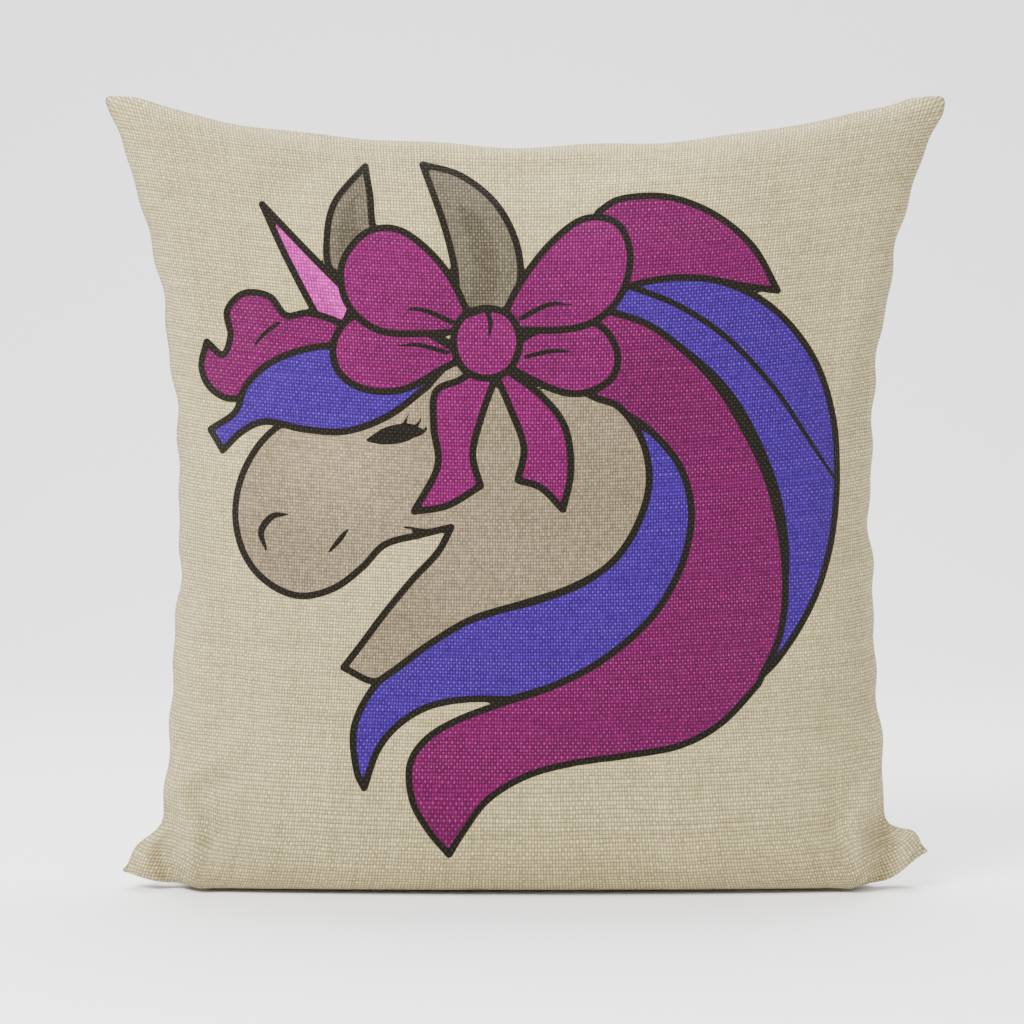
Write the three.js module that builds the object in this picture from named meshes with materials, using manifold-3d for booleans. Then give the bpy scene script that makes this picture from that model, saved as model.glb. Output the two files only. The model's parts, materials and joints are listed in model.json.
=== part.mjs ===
// Square throw cushion standing on its bottom edge: a zipped cover of two panels over a
// fibre-filled insert. Millimetres, +Z up. The printed front panel faces -Y, and the origin
// is the middle of the face that the cushion stands on.
import * as THREE from 'three';
import { mergeVertices } from 'three/addons/utils/BufferGeometryUtils.js';
import Module from 'manifold-3d';

const wasm = await Module();
wasm.setup();

// ---------------------------------------------------------------- driving dimensions, mm

const cushion = {
  width: 437, // between the two upper corner tips
  height: 412, // from the floor to the corner tips
  depth: 160, // front to back at the middle
  sideDraw: 36, // how far each side is drawn in at its middle
  topDraw: 24, // how far the top edge dips at its middle
  settle: 20, // height pressed flat where the cushion stands
  earSlope: 0.15, // rise of the lower corners off the floor, per millimetre inwards
  fullness: 0.45, // exponent of the bulge, 0.5 would be a half ellipse
};

const cover = {
  wall: 0.8,
  seamGap: 1.0, // between the two panels where they are sewn together
  allowance: 10, // turned-in strip inside the seam
  edgeRim: 1.6, // from the seam edge to the inner skin
};

const insert = {
  wall: 0.5,
  seamGap: 1.0,
  edgeRim: 1.6,
  room: 0.5, // between cover and insert at the middle
  closing: 160, // length of the hand-sewn opening
};

const zip = {
  endMargin: 53.5, // from a lower corner tip to the end of the coil
  tapeTail: 8, // tape past the coil at each end
  tapeWall: 0.5,
  tapeRise: 9, // tape folded up against the seam allowance
  lipGap: 9.2, // between the two fabric lips
  valley: 6, // height of the lips above the floor
  coilWidth: 1.6,
  coilHeight: 2.2,
  coilGap: 1.6, // between the two coils, where the slider's divider runs
  stopLength: 2.5,
};

const slider = {
  length: 10,
  plate: 0.8,
  rail: 0.6,
  divider: 0.9,
  bridgeLength: 7.4,
  bridgeWidth: 1.6,
  bridgeBar: 0.8, // thickness of the bridge
  bridgeDrop: 1.9, // from the slider's plate to the bar
};

const pull = {
  length: 22,
  thickness: 1.0,
  armWidth: 1.0,
  tabWidth: 5.6,
  window: 5.2, // length of the opening that the bridge sits in
};

const thread = { size: 0.4 };
const tack = { length: 2.5, height: 0.8 };
const clearance = { sewn: 0.3, sliding: 0.35, tape: 0.4, overlock: 0.5 };

// ---------------------------------------------------------------- worked-out places

const halfWidth = cushion.width / 2;
const halfHeight = (cushion.height + cushion.settle) / 2;
const halfDepth = cushion.depth / 2;
const middleLevel = halfHeight - cushion.settle;
const seamHalf = cover.seamGap / 2;
const lipHalf = zip.lipGap / 2;
const coilLevel = zip.valley + zip.tapeWall / 2;
const zipHalf = halfWidth - zip.endMargin;
const tapeEnd = zipHalf + zip.tapeTail;
const tackAt = tapeEnd + clearance.sewn + tack.length / 2;
const zoneHalf = tackAt + tack.length;
const zoneFade = 16; // length over which the lips close towards the corners
const panelSteps = 20; // facets along and up each panel
const zipSteps = 6; // of them from the middle to the end of the lips
const coverMiddle = halfDepth - cover.wall; // inner face of the cover at the middle
const insertMiddle = coverMiddle - insert.room;
const overlockInset = cover.allowance + clearance.overlock;
const insertInset = overlockInset + thread.size + clearance.overlock;
const insertFloor = zip.valley + Math.max(cover.allowance, zip.tapeRise) + 1.2;
const sliderAt = zipHalf - slider.length / 2; // closed

// ---------------------------------------------------------------- meshes from points

class Skin {
  constructor() {
    this.points = [];
    this.triangles = [];
  }
  add(rows) {
    return rows.map((row) => row.map((p) => this.points.push(p) - 1));
  }
  quad(a, b, c, d) {
    this.triangles.push([a, b, c], [a, c, d]);
  }
  sheet(rows, flipped) {
    for (let i = 0; i + 1 < rows.length; i++) {
      for (let j = 0; j + 1 < rows[i].length; j++) {
        const [a, b, c, d] = [rows[i][j], rows[i + 1][j], rows[i + 1][j + 1], rows[i][j + 1]];
        if (flipped) this.quad(a, d, c, b);
        else this.quad(a, b, c, d);
      }
    }
  }
  band(from, to) {
    for (let i = 0; i < from.length; i++) {
      const next = (i + 1) % from.length;
      this.quad(from[i], from[next], to[next], to[i]);
    }
  }
  geometry() {
    const volume = this.triangles.reduce((sum, [a, b, c]) => {
      const [p, q, r] = [this.points[a], this.points[b], this.points[c]];
      return sum + p.dot(q.clone().cross(r));
    }, 0);
    const order = volume > 0 ? this.triangles : this.triangles.map(([a, b, c]) => [a, c, b]);
    const result = new THREE.BufferGeometry();
    result.setAttribute(
      'position',
      new THREE.Float32BufferAttribute(this.points.flatMap((p) => [p.x, p.y, p.z]), 3),
    );
    result.setIndex(order.flat());
    result.computeVertexNormals();
    return result;
  }
}

function loft(rings) {
  const skin = new Skin();
  const rows = skin.add(rings);
  for (let i = 0; i + 1 < rows.length; i++) skin.band(rows[i], rows[i + 1]);
  const [first, last] = [rows[0], rows[rows.length - 1]];
  for (let i = 1; i + 1 < first.length; i++) {
    skin.triangles.push([first[0], first[i + 1], first[i]], [last[0], last[i], last[i + 1]]);
  }
  return skin.geometry();
}

function solidOf(geometry) {
  const bare = geometry.clone();
  bare.deleteAttribute('normal');
  bare.deleteAttribute('uv');
  const merged = mergeVertices(bare, 1e-4);
  return new wasm.Manifold(new wasm.Mesh({
    numProp: 3,
    vertProperties: merged.attributes.position.array,
    triVerts: new Uint32Array(merged.index.array),
  }));
}

function joined(...geometries) {
  const mesh = geometries.map(solidOf).reduce((a, b) => a.add(b)).getMesh();
  const result = new THREE.BufferGeometry();
  result.setAttribute('position', new THREE.BufferAttribute(mesh.vertProperties, 3));
  result.setIndex(new THREE.BufferAttribute(mesh.triVerts, 1));
  result.computeVertexNormals();
  return result;
}

// A section given in Y and Z, run along X from one place to another.
function barAlongX(section, fromX, toX) {
  const shape = new THREE.Shape(section.map(([y, z]) => new THREE.Vector2(y, z)));
  const depth = toX - fromX;
  const result = new THREE.ExtrudeGeometry(shape, { depth, bevelEnabled: false });
  const [x, y, z] = [new THREE.Vector3(1, 0, 0), new THREE.Vector3(0, 1, 0), new THREE.Vector3(0, 0, 1)];
  result.applyMatrix4(new THREE.Matrix4().makeBasis(y, z, x));
  return result.translate(fromX, 0, 0);
}

const boxBetween = (low, high) => {
  const size = high.map((value, k) => value - low[k]);
  const middle = high.map((value, k) => (value + low[k]) / 2);
  return new THREE.BoxGeometry(...size).translate(...middle);
};

// ---------------------------------------------------------------- the filled shape

const smooth = (t) => {
  const s = Math.min(1, Math.max(0, t));
  return s * s * (3 - 2 * s);
};

// 1 along the zip, 0 towards the lower corners
const alongZip = (x) => 1 - smooth((Math.abs(x) - zoneHalf) / zoneFade);

// Where panel place (u, v) lies in front view, each from -1 to 1, at an inset from the edge.
// The cover's lower corners spread out along the floor. An inner skin is cut off level above it.
function outline(u, v, inset, floor, spreads) {
  const draw = v > 0 ? cushion.topDraw * (1 - u * u) : 0;
  const reach = halfHeight - inset - draw;
  const cut = spreads ? v : Math.max(v, (floor - middleLevel) / reach);
  const x = u * (halfWidth - inset - cushion.sideDraw * (1 - cut * cut));
  const earRise = spreads ? cushion.earSlope * halfHeight * (1 + v) * smooth((Math.abs(u) - 0.8) / 0.2) : 0;
  return [x, Math.max(v * reach + middleLevel, floor + earRise)];
}

// Half the gap between the two panels: the lips of the zip stand apart, the rest is sewn shut.
function halfGap(x, v, hasZip) {
  if (!hasZip) return seamHalf;
  const nearBottom = 1 - smooth((1 + v) / 0.2);
  return seamHalf + (lipHalf - seamHalf) * alongZip(x) * nearBottom;
}

function surfacePoint(u, v, skin, side) {
  const [x, level] = outline(u, v, skin.inset, skin.floor, skin.hasZip);
  const z = level + (skin.hasZip && v === -1 ? zip.valley * alongZip(x) : 0);
  const bulge = ((1 - u * u) * (1 - v * v)) ** cushion.fullness;
  const y = halfGap(x, v, skin.hasZip) + skin.offset + skin.bulge * bulge;
  return new THREE.Vector3(x, side * y, z);
}

// Stations up a panel from -1 to 1, closer together at the edges.
const stationsUp = Array.from(
  { length: panelSteps + 1 },
  (_, i) => Math.sin((Math.PI * (i / panelSteps - 0.5))),
);

// Stations across a panel: one on each end of the zip's lips, one where the lips have closed,
// and the rest closer together towards the corners.
function stationsAcross(inset) {
  const reach = halfWidth - inset;
  const lipsEnd = zoneHalf / reach;
  const closed = (zoneHalf + zoneFade) / reach;
  const corner = panelSteps / 2 - zipSteps - 1;
  const right = [
    ...Array.from({ length: zipSteps }, (_, i) => (lipsEnd * (i + 1)) / zipSteps),
    closed,
    ...Array.from({ length: corner }, (_, i) => (
      closed + (1 - closed) * Math.sin((Math.PI * (i + 1)) / corner / 2)
    )),
  ];
  return [...right.map((u) => -u).reverse(), 0, ...right];
}

function grid(skin, side) {
  return stationsAcross(skin.inset).map((u) => stationsUp.map((v) => surfacePoint(u, v, skin, side)));
}

function rim(rows) {
  const last = rows.length - 1;
  const bottom = rows.map((row) => row[0]);
  const top = rows.map((row) => row[last]).reverse();
  return [...bottom, ...rows[last].slice(1, -1), ...top, ...rows[0].slice(1, -1).reverse()];
}

// One panel: its outer and inner skin, and the seam allowance that is turned in, if it has one.
function panel(outer, inner, allowance, wall, side) {
  const skin = new Skin();
  const outside = skin.add(grid(outer, side));
  const inside = skin.add(grid(inner, side));
  skin.sheet(outside, false);
  skin.sheet(inside, true);
  const loops = [rim(outside)];
  if (allowance > 0) {
    const near = { ...outer, inset: allowance, floor: allowance, bulge: 0 };
    const far = { ...near, offset: wall };
    loops.push(...skin.add([near, far].map((strip) => rim(grid(strip, side)))));
  }
  loops.push(rim(inside));
  for (let i = 0; i + 1 < loops.length; i++) skin.band(loops[i + 1], loops[i]);
  return skin.geometry();
}

// A thread or band that follows the seam up one side, over the top and down the other.
function seamRibbon(fromInset, toInset, halfThickness) {
  const low = -0.85;
  const climb = stationsUp.filter((v) => v > low);
  const route = [
    ...[low, ...climb].map((v) => [-1, v]),
    ...stationsUp.slice(1, -1).map((u) => [u, 1]),
    ...[...climb].reverse().map((v) => [1, v]),
    [1, low],
  ];
  return loft(route.map(([u, v]) => {
    const [ax, az] = outline(u, v, fromInset, 0, true);
    const [bx, bz] = outline(u, v, toInset, 0, true);
    return [
      new THREE.Vector3(ax, -halfThickness, az),
      new THREE.Vector3(bx, -halfThickness, bz),
      new THREE.Vector3(bx, halfThickness, bz),
      new THREE.Vector3(ax, halfThickness, az),
    ];
  }));
}

// ---------------------------------------------------------------- cover

const FRONT = -1;
const BACK = 1;

const coverOutside = { inset: 0, offset: 0, bulge: halfDepth - seamHalf, floor: 0, hasZip: true };
const coverInside = {
  inset: cover.edgeRim,
  offset: cover.wall,
  bulge: coverMiddle - seamHalf - cover.wall,
  floor: cover.wall,
  hasZip: true,
};

const coverPanel = (side) => (
  panel(coverOutside, coverInside, cover.allowance, cover.wall, side)
);

const seamThread = () => seamRibbon(1, 1 + thread.size, thread.size / 2);

const overlockThread = () => (
  seamRibbon(overlockInset, overlockInset + thread.size, seamHalf + cover.wall)
);

// ---------------------------------------------------------------- zip

const coilInner = zip.coilGap / 2;
const coilOuter = coilInner + zip.coilWidth;
const tapeInner = coilOuter + clearance.sewn;
const tapeOuter = lipHalf - clearance.tape;
const tapeTop = zip.valley + zip.tapeRise;

// The tape lies flat beside the coil, then folds up against the seam allowance.
function zipTape(side) {
  const top = zip.valley + zip.tapeWall;
  const section = [
    [tapeInner, zip.valley],
    [tapeOuter, zip.valley],
    [tapeOuter, tapeTop],
    [tapeOuter - zip.tapeWall, tapeTop],
    [tapeOuter - zip.tapeWall, top],
    [tapeInner, top],
  ];
  return barAlongX(section.map(([y, z]) => [side * y, z]), -tapeEnd, tapeEnd);
}

function coilBlock(side, halfTall, fromX, toX) {
  const [near, far] = [side * coilInner, side * coilOuter].sort((a, b) => a - b);
  return boxBetween([fromX, near, coilLevel - halfTall], [toX, far, coilLevel + halfTall]);
}

const zipCoil = (side) => coilBlock(side, zip.coilHeight / 2, -zipHalf, zipHalf);

function zipTopStop(side) {
  const start = zipHalf + clearance.sewn;
  return coilBlock(side, zip.coilHeight / 2, start, start + zip.stopLength);
}

function zipBottomStop() {
  const end = -zipHalf - clearance.sewn;
  const tall = zip.coilHeight / 2;
  return boxBetween([end - zip.stopLength, -coilOuter, coilLevel - tall], [end, coilOuter, coilLevel + tall]);
}

function zipStitch(side) {
  const level = (tapeTop + coilLevel + zip.coilHeight) / 2;
  const outerFace = tapeOuter - zip.tapeWall - clearance.sewn;
  const section = [
    [outerFace - thread.size, level],
    [outerFace, level],
    [outerFace, level + thread.size],
    [outerFace - thread.size, level + thread.size],
  ];
  return barAlongX(section.map(([y, z]) => [side * y, z]), -tapeEnd, tapeEnd);
}

const channel = zip.coilHeight / 2 + clearance.sliding; // from the coil's middle to a plate
const sliderReach = channel + slider.plate;
const sliderHalf = coilOuter + clearance.sliding + slider.rail;
const plateLevel = coilLevel - sliderReach;
const bridgeBarLevel = plateLevel - slider.bridgeDrop;
const pivotLevel = plateLevel - slider.bridgeDrop / 2;

// Two plates joined by a divider, with rails that leave a slot for each tape, and a bridge below.
function zipSlider() {
  const slot = zip.tapeWall / 2 + clearance.tape;
  const quarter = [
    [sliderHalf, sliderReach],
    [sliderHalf, slot],
    [sliderHalf - slider.rail, slot],
    [sliderHalf - slider.rail, channel],
    [slider.divider / 2, channel],
  ];
  const right = [...quarter, ...quarter.map(([y, z]) => [y, -z]).reverse()];
  const section = [...right, ...right.map(([y, z]) => [-y, z]).reverse()];
  const body = barAlongX(section.map(([y, z]) => [y, coilLevel + z]), -slider.length / 2, slider.length / 2);
  const bridge = new THREE.Shape([
    [-slider.bridgeLength / 2, plateLevel + slider.plate / 2],
    [-slider.bridgeLength / 2, bridgeBarLevel - slider.bridgeBar],
    [slider.bridgeLength / 2, bridgeBarLevel - slider.bridgeBar],
    [slider.bridgeLength / 2, plateLevel + slider.plate / 2],
    [slider.bridgeLength / 2 - 1, plateLevel + slider.plate / 2],
    [slider.bridgeLength / 2 - 1, bridgeBarLevel],
    [-slider.bridgeLength / 2 + 1, bridgeBarLevel],
    [-slider.bridgeLength / 2 + 1, plateLevel + slider.plate / 2],
  ].map(([x, z]) => new THREE.Vector2(x, z)));
  const arch = new THREE.ExtrudeGeometry(bridge, { depth: slider.bridgeWidth, bevelEnabled: false });
  arch.rotateX(Math.PI / 2).translate(0, slider.bridgeWidth / 2, 0);
  return joined(body, arch).translate(sliderAt, 0, 0);
}

// A flat tab on a ring: the ring's end bar passes through the bridge and turns in it.
function zipPull() {
  const inner = slider.bridgeWidth / 2 + clearance.tape;
  const outer = inner + pull.armWidth;
  const bar = pull.thickness / 2;
  const round = pull.tabWidth / 2;
  const tab = new THREE.Shape();
  tab.moveTo(bar, -outer);
  tab.lineTo(bar, outer);
  tab.lineTo(-pull.window, outer);
  tab.lineTo(-pull.length + round, round);
  tab.absarc(-pull.length + round, 0, round, Math.PI / 2, (3 * Math.PI) / 2, false);
  tab.lineTo(-pull.window, -outer);
  tab.closePath();
  const window = new THREE.Path([
    new THREE.Vector2(-bar, -inner),
    new THREE.Vector2(-pull.window, -inner),
    new THREE.Vector2(-pull.window, inner),
    new THREE.Vector2(-bar, inner),
  ]);
  tab.holes.push(window);
  const plate = new THREE.ExtrudeGeometry(tab, { depth: pull.thickness, bevelEnabled: false, curveSegments: 8 });
  return plate.translate(sliderAt, 0, pivotLevel - bar);
}

function barTack(end) {
  const half = lipHalf - clearance.tape;
  const level = zip.valley;
  return boxBetween(
    [end * tackAt - tack.length / 2, -half, level],
    [end * tackAt + tack.length / 2, half, level + tack.height],
  );
}

// ---------------------------------------------------------------- insert and fill

const insertOutside = {
  inset: insertInset,
  offset: 0,
  bulge: insertMiddle - seamHalf,
  floor: insertFloor,
  hasZip: false,
};
const insertInside = {
  inset: insertInset + insert.edgeRim,
  offset: insert.wall,
  bulge: insertMiddle - seamHalf - 2 * insert.wall,
  floor: insertFloor + insert.wall,
  hasZip: false,
};

const insertPanel = (side) => panel(insertOutside, insertInside, 0, insert.wall, side);

const insertSeamThread = () => (
  seamRibbon(insertInset + 0.6, insertInset + 0.6 + thread.size, thread.size / 2)
);

function insertClosingStitch() {
  const level = insertFloor + insert.wall / 2;
  const half = thread.size / 2;
  return boxBetween(
    [-insert.closing / 2, -half, level],
    [insert.closing / 2, half, level + thread.size],
  );
}

function fibreFill() {
  const fill = {
    inset: insertInside.inset + insert.room,
    offset: 0,
    bulge: insertMiddle - insert.wall - insert.room - seamHalf,
    floor: insertInside.floor + thread.size + insert.room,
    hasZip: false,
  };
  const skin = new Skin();
  const front = skin.add(grid(fill, FRONT));
  const back = skin.add(grid(fill, BACK));
  skin.sheet(front, false);
  skin.sheet(back, true);
  skin.band(rim(back), rim(front));
  return skin.geometry();
}

// ---------------------------------------------------------------- materials and nodes

const finish = (color, roughness, metalness = 0) => (
  new THREE.MeshStandardMaterial({ color, roughness, metalness })
);
const linen = finish(0xb9ae94, 0.95);
const sewingThread = finish(0xcfc4a8, 0.8);
const tapeCloth = finish(0xd8cfba, 0.9);
const nylon = finish(0xcdbfa0, 0.5);
const zinc = finish(0x9a9a98, 0.35, 0.9);
const casing = finish(0xf2f1ee, 0.9);
const fibre = finish(0xffffff, 1.0);

const object = new THREE.Group();
function node(name, geometry, material) {
  const mesh = new THREE.Mesh(geometry, material);
  mesh.name = name;
  object.add(mesh);
}

for (const [name, side] of [['front', FRONT], ['back', BACK]]) {
  node(`cover_${name}_panel`, coverPanel(side), linen);
  node(`zip_tape_${name}`, zipTape(side), tapeCloth);
  node(`zip_coil_${name}`, zipCoil(side), nylon);
  node(`zip_stitch_${name}`, zipStitch(side), sewingThread);
  node(`zip_top_stop_${name}`, zipTopStop(side), zinc);
  node(`insert_${name}_panel`, insertPanel(side), casing);
}
node('seam_thread', seamThread(), sewingThread);
node('overlock_thread', overlockThread(), sewingThread);
node('zip_bottom_stop', zipBottomStop(), zinc);
node('zip_slider', zipSlider(), zinc);
node('zip_pull', zipPull(), zinc);
node('bar_tack_left', barTack(-1), sewingThread);
node('bar_tack_right', barTack(1), sewingThread);
node('insert_seam_thread', insertSeamThread(), sewingThread);
node('insert_closing_stitch', insertClosingStitch(), sewingThread);
node('fibre_fill', fibreFill(), fibre);

export default object;
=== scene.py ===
import json
import math

import bmesh
import bpy
import numpy as np
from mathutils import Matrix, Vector

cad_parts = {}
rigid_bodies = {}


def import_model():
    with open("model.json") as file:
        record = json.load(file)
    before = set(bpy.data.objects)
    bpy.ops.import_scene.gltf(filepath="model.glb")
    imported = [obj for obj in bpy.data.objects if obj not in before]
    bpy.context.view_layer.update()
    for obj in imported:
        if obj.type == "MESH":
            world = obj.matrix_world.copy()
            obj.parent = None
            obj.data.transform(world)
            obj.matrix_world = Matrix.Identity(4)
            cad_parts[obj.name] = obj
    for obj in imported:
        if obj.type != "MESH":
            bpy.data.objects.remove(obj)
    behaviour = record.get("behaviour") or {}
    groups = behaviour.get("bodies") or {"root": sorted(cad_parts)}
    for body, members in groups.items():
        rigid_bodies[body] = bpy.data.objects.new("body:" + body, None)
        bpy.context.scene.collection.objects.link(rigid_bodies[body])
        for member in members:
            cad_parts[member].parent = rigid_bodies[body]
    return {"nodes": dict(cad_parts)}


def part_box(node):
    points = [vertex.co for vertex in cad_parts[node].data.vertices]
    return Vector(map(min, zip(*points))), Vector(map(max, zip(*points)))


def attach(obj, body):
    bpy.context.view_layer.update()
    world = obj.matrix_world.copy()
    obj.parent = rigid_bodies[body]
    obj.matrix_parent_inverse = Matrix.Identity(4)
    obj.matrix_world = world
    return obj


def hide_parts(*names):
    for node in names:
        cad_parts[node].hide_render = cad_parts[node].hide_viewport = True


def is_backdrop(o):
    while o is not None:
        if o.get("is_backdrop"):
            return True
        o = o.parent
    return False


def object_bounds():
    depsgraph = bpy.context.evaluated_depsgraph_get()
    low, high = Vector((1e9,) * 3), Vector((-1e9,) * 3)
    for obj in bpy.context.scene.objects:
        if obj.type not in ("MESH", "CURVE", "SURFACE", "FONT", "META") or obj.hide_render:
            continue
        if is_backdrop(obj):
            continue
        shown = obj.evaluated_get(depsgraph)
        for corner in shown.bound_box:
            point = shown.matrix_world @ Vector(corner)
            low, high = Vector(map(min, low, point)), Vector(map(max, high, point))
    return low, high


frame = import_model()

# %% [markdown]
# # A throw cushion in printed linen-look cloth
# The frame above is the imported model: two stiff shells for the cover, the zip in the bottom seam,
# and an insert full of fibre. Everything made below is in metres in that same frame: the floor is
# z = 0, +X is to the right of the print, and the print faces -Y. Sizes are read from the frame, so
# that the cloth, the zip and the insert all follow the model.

MM = 0.001
cad_low, cad_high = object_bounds()
tack_low, tack_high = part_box("bar_tack_right")
tape_low, tape_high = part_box("zip_tape_front")
coil_low, coil_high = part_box("zip_coil_front")

HALF_WIDTH = cad_high.x
HEIGHT = cad_high.z
HALF_DEPTH = cad_high.y
LIP_HALF = -tape_low.y + 0.4 * MM  # from the middle of the zip to each fabric lip
LIP_LEVEL = tape_low.z
ZIP_HALF = tack_high.x + 1.3 * MM
COIL_LEVEL = (coil_low.z + coil_high.z) / 2
print("cushion", [round(v / MM) for v in (2 * HALF_WIDTH, 2 * HALF_DEPTH, HEIGHT)], "mm")


def select_only(*objects):
    bpy.ops.object.select_all(action="DESELECT")
    for obj in objects:
        obj.select_set(True)
        bpy.context.view_layer.objects.active = obj


def new_object(name, points, faces):
    """A smooth object with this mesh, selected."""
    mesh = bpy.data.meshes.new(name)
    mesh.from_pydata(points, [], faces)
    obj = bpy.data.objects.new(name, mesh)
    bpy.context.scene.collection.objects.link(obj)
    select_only(obj)
    bpy.ops.object.shade_smooth()
    return obj


def finish_piece(obj, body, node, material):
    """Gives a piece its material and the body it rides on, and hides the model's node that it stands for."""
    obj.data.materials.append(material)
    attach(obj, body)
    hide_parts(node)


select_only()

# %% [markdown]
# ## The room: floor, light and camera
# A product picture is taken in a white sweep: the floor curves up into the back wall, so no corner
# or horizon shows behind the object. One plane is enough. Its far edge is selected and extruded
# upward, and the corner is bevelled round. The light is soft: a big lamp high on the left, a
# weaker one on the right, and a bright even surrounding.

# %% White sweep
def select_verts(obj, test):
    """Selects the vertices of obj, in edit mode, whose place passes the test."""
    mesh = bmesh.from_edit_mesh(obj.data)
    for vert in mesh.verts:
        vert.select = test(vert.co)
    mesh.select_flush_mode()
    bmesh.update_edit_mesh(obj.data)
    return sum(v.select for v in mesh.verts)


bpy.ops.mesh.primitive_plane_add(size=1, location=(0, 0, 0))
sweep = bpy.context.object
sweep.name = "studio_sweep"
bpy.ops.object.mode_set(mode="EDIT")
bpy.ops.transform.resize(value=(20, 5, 1))
bpy.ops.transform.translate(value=(0, 0, -0.1 * MM))
bpy.ops.mesh.select_mode(type="VERT")
print("near corners", select_verts(sweep, lambda p: p.y < -1))
bpy.ops.transform.translate(value=(0, -8, 0))
print("far corners", select_verts(sweep, lambda p: p.y > 1))
bpy.ops.mesh.extrude_region_move(TRANSFORM_OT_translate={"value": (0, 0, 3)})
select_verts(sweep, lambda p: p.y > 1 and p.z < 1)
bpy.ops.mesh.bevel(offset=1.2, segments=16, affect="EDGES")
bpy.ops.object.mode_set(mode="OBJECT")
bpy.ops.object.shade_smooth()

# %% Pale painted surface
paint = bpy.data.materials.new("pale_floor_paint")
paint.use_nodes = True
paint_shader = paint.node_tree.nodes["Principled BSDF"]
paint_shader.inputs["Base Color"].default_value = (0.93, 0.93, 0.93, 1)
paint_shader.inputs["Roughness"].default_value = 0.7
sweep.data.materials.append(paint)
sweep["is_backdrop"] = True


# %% Soft light
def area_light(name, place, aim, size, power):
    light = bpy.data.lights.new(name, "AREA")
    light.size = size
    light.energy = power
    lamp = bpy.data.objects.new(name, light)
    bpy.context.scene.collection.objects.link(lamp)
    lamp.location = place
    lamp.rotation_euler = (Vector(aim) - Vector(place)).to_track_quat("-Z", "Y").to_euler()


middle = (0, 0, HEIGHT / 2)
area_light("key_light", (-1.1, -1.5, 1.7), middle, 0.9, 122)
area_light("fill_light", (1.6, -1.3, 0.8), middle, 1.6, 7)
area_light("top_light", (0.1, 0.6, 1.9), middle, 1.2, 66)
world = bpy.data.worlds.new("studio_world")
bpy.context.scene.world = world
world.use_nodes = True
world.node_tree.nodes["Background"].inputs["Color"].default_value = (1, 1, 1, 1)
world.node_tree.nodes["Background"].inputs["Strength"].default_value = 1.2

# %% Camera: straight on, a little above the middle of the cushion
VIEW_WIDTH = 0.5355  # width of the picture at the cushion
CAMERA_LENS = 100
SENSOR = 36
camera_data = bpy.data.cameras.new("camera")
camera_data.lens = CAMERA_LENS
camera_data.sensor_width = SENSOR
camera = bpy.data.objects.new("camera", camera_data)
bpy.context.scene.collection.objects.link(camera)
camera_distance = VIEW_WIDTH * CAMERA_LENS / SENSOR
aim = Vector((-6.8 * MM, 0, 0.197))
tilt = math.radians(1.5)
camera.location = aim + camera_distance * Vector((0, -math.cos(tilt), math.sin(tilt)))
camera.rotation_euler = (aim - camera.location).to_track_quat("-Z", "Y").to_euler()
bpy.context.scene.camera = camera
print("camera at", [round(v, 3) for v in camera.location])

# %% [markdown]
# ## Cutting and sewing the cover
# A cushion cover is nothing but two flat squares sewn together at the edge. All of its shape, with
# the drawn-in sides, the pointed corners and the soft puckers, comes from filling it. So the cover
# is made the same way here: two square grids of cloth that share their edge, and a cloth
# simulation that fills them. The lips of the zip are the one stretch of edge that isn't shared:
# they stay apart, straight, and pinned where the zip tape holds them.

# %% The pattern piece: a grid of cloth cells
PANEL = 450 * MM  # cut and sewn size of each square
CELLS = 75  # across the square, 6 mm each
FRONT, BACK = -1, 1


def flat_place(i, j):
    """Where a grid point lies on the flat square, from its middle. The corners are cut a little blunt."""
    u, v = 2 * i / CELLS - 1, 2 * j / CELLS - 1
    blunt = 1 - 0.03 * abs(u * v) ** 18
    return u * blunt * PANEL / 2, v * blunt * PANEL / 2


def on_lip(i, j):
    return j == 0 and abs(flat_place(i, j)[0]) <= ZIP_HALF


def on_edge(i, j):
    return i in (0, CELLS) or j in (0, CELLS)


def point_key(i, j, side):
    """Both panels use the same point along a sewn edge, and one each elsewhere."""
    return (i, j, 0) if on_edge(i, j) and not on_lip(i, j) else (i, j, side)


# %% Half-filled start shape
SIDE_DRAW = 34 * MM
TOP_DRAW = 24 * MM
START_BULGE = 0.94


def start_point(i, j, side):
    """A smooth half-filled cushion, which the simulation then fills properly."""
    u, v = 2 * i / CELLS - 1, 2 * j / CELLS - 1
    if on_lip(i, j):
        return flat_place(i, j)[0], side * LIP_HALF, LIP_LEVEL
    x = u * (HALF_WIDTH - SIDE_DRAW * (1 - v * v))
    top = HEIGHT + 0.02 - TOP_DRAW * (1 - u * u)
    z = LIP_LEVEL + (v + 1) / 2 * (top - LIP_LEVEL)
    bulge = max(0.0, (1 - u * u) * (1 - v * v)) ** 0.5
    near_lip = max(0.0, 1 - (v + 1) / 0.1) * max(0.0, 1 - max(0.0, abs(x) - ZIP_HALF) / 0.012)
    y = side * (LIP_HALF * near_lip + START_BULGE * HALF_DEPTH * bulge)
    ripple = 0.0006 * math.sin(23 * x + 17 * z + 1.0) + 0.0005 * math.sin(41 * x - 31 * z)
    return x, (y + ripple * bulge), z


def grid_faces(count, side, number_of):
    """The faces of a square grid of cells, all turned outward. number_of(i, j, side) is a point's number."""
    faces = []
    for i in range(count):
        for j in range(count):
            ring = [number_of(a, b, side) for a, b in ((i, j), (i + 1, j), (i + 1, j + 1), (i, j + 1))]
            faces.append(ring if side == FRONT else ring[::-1])
    return faces


grid_points = [(i, j) for i in range(CELLS + 1) for j in range(CELLS + 1)]
keys = sorted({point_key(i, j, side) for side in (FRONT, BACK) for i, j in grid_points})
index = {key: n for n, key in enumerate(keys)}
start = [start_point(i, j, side) for i, j, side in keys]
cells = []
for side in (FRONT, BACK):
    cells += grid_faces(CELLS, side, lambda i, j, side: index[point_key(i, j, side)])
print("cloth points", len(keys), "cells", len(cells))

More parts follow.
